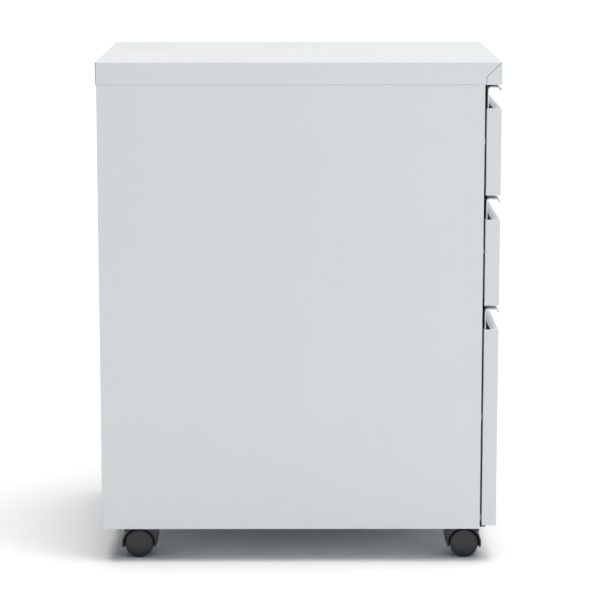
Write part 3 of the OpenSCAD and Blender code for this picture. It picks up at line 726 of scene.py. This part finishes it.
def turned(name, material, profile, spots, steps=40):
    """A profile of (radius, height) points turned about an axis, once for each (foot, direction) of it."""
    bm = bmesh.new()
    for foot, direction in spots:
        way = Vector(direction).to_track_quat("Z", "Y")
        rings = []
        for radius, height in profile:
            count = steps if radius > 0 else 1
            turns = [math.tau * i / steps for i in range(count)]
            rings.append([bm.verts.new(Vector(foot) + way @ Vector((
                radius * math.cos(turn), radius * math.sin(turn), height))) for turn in turns])
        closed = profile[0][0] > 0 and profile[-1][0] > 0
        for a, b in zip(rings, rings[1:] + (rings[:1] if closed else [])):
            for i in range(steps):
                corners = (a[i % len(a)], a[(i + 1) % len(a)], b[(i + 1) % len(b)], b[i % len(b)])
                if len(set(corners)) > 2:
                    bm.faces.new(list(dict.fromkeys(corners)))
    bmesh.ops.recalc_face_normals(bm, faces=bm.faces)
    mesh = bpy.data.meshes.new(name)
    bm.to_mesh(mesh)
    bm.free()
    mesh.materials.append(material)
    mesh.shade_smooth()
    mesh.set_sharp_from_angle(angle=math.radians(38))
    obj = bpy.data.objects.new(name, mesh)
    bpy.context.scene.collection.objects.link(obj)
    return obj


screw_head_t = 0.0018
stud_side = 0.16
stud_r = 0.003
flange_r = 0.004
for number in (1, 2, 3):
    node = f"drawer_{number}_fasteners"
    screws = []
    for low, high in solids(node):
        if high.x < stud_side:
            screws.append((((low.x + high.x) / 2, high.y - screw_head_t, (low.z + high.z) / 2), (0, 1, 0)))
            screw_l = high.y - low.y - screw_head_t
        else:
            stud_foot, stud_l = (low.x, (low.y + high.y) / 2, (low.z + high.z) / 2), high.x - low.x
    stud = turned(f"drawer_{number}_stud", zinc, [
        (0, 0), (flange_r, 0), (flange_r, 0.0007), (flange_r - 0.0003, 0.001), (stud_r - 0.0001, 0.001),
        (stud_r - 0.0003, 0.0013), (stud_r - 0.0003, 0.0023), (stud_r, 0.0026), (stud_r, stud_l - 0.0006),
        (stud_r - 0.0006, stud_l), (0.4 * stud_r, stud_l), (0, stud_l - 0.0004)],
        [(stud_foot, (1, 0, 0))], 28)
    fit(fasteners(f"drawer_{number}_screws", screw_tree, screws, zinc, radius=0.004, height=screw_head_t,
                  crown=0.6, neck_r=0.002, neck_l=screw_l, drive=0.0044), f"drawer_{number}", "zinc", node)
    fit(stud, f"drawer_{number}", "zinc")

# ---- Lock ----
# A chromed cam lock in the corner of the slab's front: a housing clamped behind the sheet, and a plug that
# turns in it with its cam. The cam's pin lifts a flat zinc-plated bar, which slides on shoulder rivets
# behind the right flange.

chrome = plated("chrome", (0.56, 0.57, 0.58), 0.13, streak=0.25)
low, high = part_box("lock_housing")
foot = ((low[0] + high[0]) / 2, low[1], (low[2] + high[2]) / 2)
depth = high[1] - low[1]
bore = 0.00603
barrel_r = 0.009
nut_r = 0.0115
nut_front, nut_back = 0.001, 0.0035
housing = turned("lock_housing_turned", chrome, [
    (bore, 0.0004), (bore + 0.0004, 0), (0.0071, 0), (0.0072, 0.00012), (0.0075, 0.00012), (0.0076, 0),
    (barrel_r - 0.0006, 0), (barrel_r - 0.0002, 0.00015), (barrel_r, 0.0005), (barrel_r, nut_front),
    (nut_r - 0.0003, nut_front), (nut_r, nut_front + 0.0003), (nut_r, nut_back - 0.0003),
    (nut_r - 0.0003, nut_back), (barrel_r, nut_back), (barrel_r, depth - 0.0005),
    (barrel_r - 0.0005, depth), (bore, depth)], [(foot, (0, 1, 0))], 64)
fit(housing, "cabinet", "bright_steel", "lock_housing")
fit(folded("lock_plug", "lock_plug_eased", chrome, bend=0.0003, inside=0.0001, cut=0.0001, sheet=0.0008),
    "lock_turn", "bright_steel", "lock_plug")
fit(folded("lock_cam", "lock_cam_eased", zinc, bend=0.0003, cut=0.0002), "lock_turn", "zinc", "lock_cam")
fit(folded("lock_bar", "lock_bar_eased", zinc, bend=0.0004, cut=0.0002, sheet=0.0018),
    "lock_bar_body", "zinc", "lock_bar")

guide_head_t = 0.0015
guides = []
for low, high in solids("lock_bar_rivets"):
    guides.append((((low.x + high.x) / 2, high.y - guide_head_t, (low.z + high.z) / 2), (0, 1, 0)))
    guide_l = high.y - low.y - guide_head_t
fit(fasteners("lock_bar_guides", rivet_tree, guides, zinc, radius=0.005, height=guide_head_t, crown=0.4,
              neck_r=0.0025, neck_l=guide_l, drive=0.003), "cabinet", "zinc", "lock_bar_rivets")

# ---- Casters ----
# Twin-wheel casters screwed into the channels in the base. A black nylon hood carries the steel axle through
# its web, and a dark grey nylon wheel with a crowned black tread runs on each side of the web.

wheel_nylon = moulded("grey_nylon", (0.03, 0.0315, 0.036), 0.36, 0.0008, 0.1)
stem_r = 0.004
collar_r = 0.008
collar_foot, collar_top = 0.0221, 0.0257
thread_pitch = 0.00125
thread = []
for crest in range(5):
    z = collar_top + 0.002 + crest * thread_pitch
    thread += [(stem_r, z), (stem_r - 0.0005, z + 0.0006)]
low, high = zip(*solids("caster_stems"))
stem_l = high[0].z - low[0].z
stems = turned("caster_stems_turned", zinc, [
    (0, 0), (stem_r - 0.0006, 0), (stem_r, 0.0006), (stem_r, 0.0028), (stem_r - 0.0004, 0.003),
    (stem_r - 0.0004, 0.004), (stem_r, 0.0042), (stem_r, collar_foot), (collar_r - 0.0005, collar_foot),
    (collar_r, collar_foot + 0.0005), (collar_r, collar_top - 0.0005), (collar_r - 0.0005, collar_top),
    (stem_r, collar_top)] + thread + [
    (stem_r - 0.0007, stem_l - 0.0002), (stem_r - 0.001, stem_l), (0, stem_l)],
    [(((a.x + b.x) / 2, (a.y + b.y) / 2, a.z), (0, 0, 1)) for a, b in zip(low, high)], 32)
fit(stems, "cabinet", "zinc", "caster_stems")


tread_depth = 0.0017


def wheel_profile(radius, width):
    """From the closed end of the axle bore, over the crowned tread and rim groove, to the face's middle."""
    axle_bore = 0.00305
    tread = [(radius - 0.0012, 0), (radius - 0.0008, 0.0003), (radius - 0.0003, 0.0009),
             (radius - 0.0001, 0.0019), (radius, 0.0032)]
    tread += [(r, width - t) for r, t in reversed(tread)]
    rim = radius - tread_depth
    return [(0, width - 0.001), (axle_bore, width - 0.001), (axle_bore, 0.0004), (axle_bore + 0.0004, 0),
            (0.0075, 0), (0.0078, 0.0004), (0.0155, 0.0004), (0.0158, 0)] + tread + [
            (rim, width - 0.0001), (rim - 0.0002, width - 0.0007), (rim - 0.0006, width - 0.0008),
            (rim - 0.001, width - 0.0006), (rim - 0.004, width - 0.0004), (rim / 2, width - 0.0002),
            (0, width - 0.0001)]


def hood_outside(reach, behind, head, tip):
    """The cover's outer line seen from the side, from its front tip over the flat plate to its rear tip."""
    ledge, nose, shoulder, bulge = reach - 0.007, reach - 0.003, 0.009, reach + 0.004
    start, end = (math.degrees(math.asin(level / reach)) for level in (tip, ledge))
    line = arc((0, 0), reach, start, end, 14)
    line += [(nose - 0.0005, ledge), (nose, ledge + 0.0005)]
    line += arc((nose - 0.0008, head - 0.0008), 0.0008, 0, 90, 3)
    line += arc((0.001 - behind, head - 0.001), 0.001, 90, 180, 4)
    return line + arc((bulge - behind, shoulder), bulge, 180,
                      180 + math.degrees(math.asin((shoulder - tip) / bulge)), 12)


def moved_in(line, distance):
    """A line of points moved to its left-hand side."""
    result = []
    for i, (a, b) in enumerate(line):
        before, after = line[max(i - 1, 0)], line[min(i + 1, len(line) - 1)]
        along = Vector((after[0] - before[0], after[1] - before[1])).normalized()
        result.append((a - along.y * distance, b + along.x * distance))
    return result


def lofted(name, material, rings):
    """A closed body through rings of equally many points."""
    bm = bmesh.new()
    made = [[bm.verts.new(point) for point in ring] for ring in rings]
    for a, b in zip(made, made[1:]):
        for i in range(len(a)):
            j = (i + 1) % len(a)
            bm.faces.new((a[i], a[j], b[j], b[i]))
    bm.faces.new(made[0])
    bm.faces.new(made[-1])
    bmesh.ops.recalc_face_normals(bm, faces=bm.faces)
    mesh = bpy.data.meshes.new(name)
    bm.to_mesh(mesh)
    bm.free()
    mesh.materials.append(material)
    obj = bpy.data.objects.new(name, mesh)
    bpy.context.scene.collection.objects.link(obj)
    return obj


def welded(obj, steps):
    """Joins bodies to a body or cuts them out of it, and keeps one mesh. A step is (operation, body)."""
    for operation, other in steps:
        mod = obj.modifiers.new("weld", "BOOLEAN")
        mod.operation, mod.object, mod.solver = operation, other, "EXACT"
    graph = bpy.context.evaluated_depsgraph_get()
    graph.update()
    mesh = bpy.data.meshes.new_from_object(obj.evaluated_get(graph), depsgraph=graph)
    obj.modifiers.clear()
    obj.data = mesh
    for operation, other in steps:
        bpy.data.objects.remove(other)
    mesh.shade_smooth()
    mesh.set_sharp_from_angle(angle=math.radians(50))
    even = obj.modifiers.new("even_shading", "WEIGHTED_NORMAL")
    even.keep_sharp = True
    return obj


def hood(name, node, axle_at, stem_y):
    """Side walls with a wide lead round each wheel, joined by the middle web, and bored for the stem."""
    low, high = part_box(node)
    end = 1 if axle_at[1] > stem_y else -1
    reach = (high[1] - axle_at[1]) if end > 0 else (axle_at[1] - low[1])
    behind = (axle_at[1] - low[1]) if end > 0 else (high[1] - axle_at[1])
    head, half = high[2] - axle_at[2], (high[0] - low[0]) / 2
    tip, edge, lead, web, hub_r, wall = -0.0052, 0.0005, 0.001, 0.006, 0.009, 0.0028
    wheel_room = reach - wall
    outside = hood_outside(reach, behind, head, tip)

    def side_on(x, line):
        return [(axle_at[0] + x, axle_at[1] + end * a, axle_at[2] + b) for a, b in line]

    rings = []
    for back_from_face, inset, room in (
            (0, edge, lead), (0.3 * edge, 0.3 * edge, lead), (edge, 0, 0.8 * lead), (0.0016, 0, 0)):
        inner_r = wheel_room + room
        sweep = math.degrees(math.asin(-tip / inner_r))
        rings.append((half - back_from_face,
                      moved_in(outside, inset) + arc((0, 0), inner_r, 180 + sweep, -sweep, 36)))
    levels = [(-x, line) for x, line in rings] + list(reversed(rings))
    shell = lofted(name, black_nylon, [side_on(x, line) for x, line in levels])
    sweep = math.degrees(math.asin(-tip / hub_r))
    plate = moved_in(outside, 0.0003) + arc((0, 0), hub_r, 180 + sweep, 360 - sweep, 14)
    middle = lofted(name + "_web", black_nylon, [side_on(x, plate) for x in (-web, web)])
    socket = turned(name + "_socket", black_nylon, [(0, 0), (0.00405, 0), (0.00405, 0.03), (0, 0.03)],
                    [((axle_at[0], stem_y, axle_at[2] + 0.002), (0, 0, 1))], 32)
    return welded(shell, [("UNION", middle), ("DIFFERENCE", socket)])


axle_r = 0.003
above_floor = 1e-5
stem_ends = [((a.x + b.x) / 2, (a.y + b.y) / 2) for a, b in solids("caster_stems")]
for corner in ("fl", "fr", "bl", "br"):
    caster = f"caster_{corner}"
    low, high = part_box(caster + "_axle")
    middle = [(a + b) / 2 for a, b in zip(low, high)]
    stem_y = min(stem_ends, key=lambda stem: abs(stem[0] - middle[0]) + abs(stem[1] - middle[1]))[1]
    fit(hood(caster + "_hood_moulded", caster + "_hood", middle, stem_y),
        caster + "_swivel", "hood_plastic", caster + "_hood")
    length = high[0] - low[0]
    axle = turned(caster + "_axle_turned", zinc, [
        (0, 0), (axle_r - 0.0004, 0), (axle_r, 0.0004), (axle_r, 0.002), (axle_r - 0.0002, 0.0022),
        (axle_r - 0.0002, 0.003), (axle_r, 0.0032), (axle_r, length - 0.0004), (axle_r - 0.0004, length),
        (0, length)], [((low[0], middle[1], middle[2]), (1, 0, 0))], 28)
    fit(axle, caster + "_swivel", "zinc", caster + "_axle")
    for side in ("outer", "inner"):
        node = f"{caster}_wheel_{side}"
        low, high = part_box(node)
        out = 1 if (low[0] + high[0]) / 2 > middle[0] else -1
        radius = (high[2] - low[2]) / 2 - above_floor
        wheel = turned(node + "_turned", wheel_nylon, wheel_profile(radius, high[0] - low[0]),
                       [((low[0] if out > 0 else high[0], middle[1], middle[2]), (out, 0, 0))], 72)
        wheel.data.materials.append(black_nylon)
        for face in wheel.data.polygons:
            if math.hypot(face.center.y - middle[1], face.center.z - middle[2]) > radius - tread_depth:
                face.material_index = 1
        fit(wheel, f"{caster}_{side}_roll", "wheel_plastic", node)

# ---- Floor, light and camera ----
# A plain white floor in a white room, lit by a wide softbox on the ceiling and a weak one at the cabinet's
# left front. Neither lamp is mirrored: the paint and the metal mirror the pale walls instead.

edge = 30
floor_mesh = bpy.data.meshes.new("floor")
floor_mesh.from_pydata([(-edge, -edge, 0), (edge, -edge, 0), (edge, edge, 0), (-edge, edge, 0)],
                       [], [(0, 1, 2, 3)])
floor = bpy.data.objects.new("floor", floor_mesh)
bpy.context.scene.collection.objects.link(floor)
paper = bpy.data.materials.new("studio_floor")
paper.use_nodes = True
matte = paper.node_tree.nodes["Principled BSDF"]
matte.inputs["Base Color"].default_value = (0.915, 0.93, 0.95, 1)
matte.inputs["Roughness"].default_value = 1.0
matte.inputs["Specular IOR Level"].default_value = 0.0
floor_mesh.materials.append(paper)

world = bpy.data.worlds.new("studio")
bpy.context.scene.world = world
world.use_nodes = True
room = world.node_tree
fill = room.nodes["Background"]
fill.inputs["Color"].default_value = (0.93, 0.97, 1.0, 1)
fill.inputs["Strength"].default_value = 0.18
backdrop = room.nodes.new("ShaderNodeBackground")
backdrop.inputs["Color"].default_value = (1, 1, 1, 1)
walls = room.nodes.new("ShaderNodeBackground")
walls.inputs["Color"].default_value = (0.97, 0.985, 1.0, 1)
walls.inputs["Strength"].default_value = 0.5
ray = room.nodes.new("ShaderNodeLightPath")
mirrored = room.nodes.new("ShaderNodeMixShader")
room.links.new(ray.outputs["Is Glossy Ray"], mirrored.inputs[0])
room.links.new(fill.outputs[0], mirrored.inputs[1])
room.links.new(walls.outputs[0], mirrored.inputs[2])
seen = room.nodes.new("ShaderNodeMixShader")
room.links.new(ray.outputs["Is Camera Ray"], seen.inputs[0])
room.links.new(mirrored.outputs[0], seen.inputs[1])
room.links.new(backdrop.outputs[0], seen.inputs[2])
room.links.new(seen.outputs[0], room.nodes["World Output"].inputs["Surface"])

ceiling = bpy.data.lights.new("ceiling_softbox", "SUN")
ceiling.energy = 3.2
ceiling.color = (1.0, 0.965, 0.915)
ceiling.angle = math.radians(50)
ceiling_light = bpy.data.objects.new("ceiling_softbox", ceiling)
ceiling_light.rotation_euler = Vector((-0.08, -0.2, 2.2)).to_track_quat("Z", "Y").to_euler()
ceiling_light.visible_glossy = False
bpy.context.scene.collection.objects.link(ceiling_light)

side_lamp = bpy.data.lights.new("side_softbox", "AREA")
side_lamp.shape = "SQUARE"
side_lamp.size = 1.0
side_lamp.energy = 12
side_lamp.color = (0.9, 0.96, 1.0)
side_light = bpy.data.objects.new("side_softbox", side_lamp)
side_light.location = (-1.3, -1.5, 2.0)
lit_spot = Vector((-0.2, -0.05, 0.5))
side_light.rotation_euler = (side_light.location - lit_spot).to_track_quat("Z", "Y").to_euler()
side_light.visible_glossy = False
bpy.context.scene.collection.objects.link(side_light)

camera_data = bpy.data.cameras.new("camera")
camera_data.lens = 145.7
camera = bpy.data.objects.new("camera", camera_data)
camera.location = (-3.295, 0.0089, 0.894)
aim = Vector((0, -0.0024, 0.3184))
camera.rotation_euler = (aim - camera.location).to_track_quat("-Z", "Y").to_euler()
bpy.context.scene.collection.objects.link(camera)
bpy.context.scene.camera = camera
bpy.context.scene.view_settings.view_transform = "Standard"
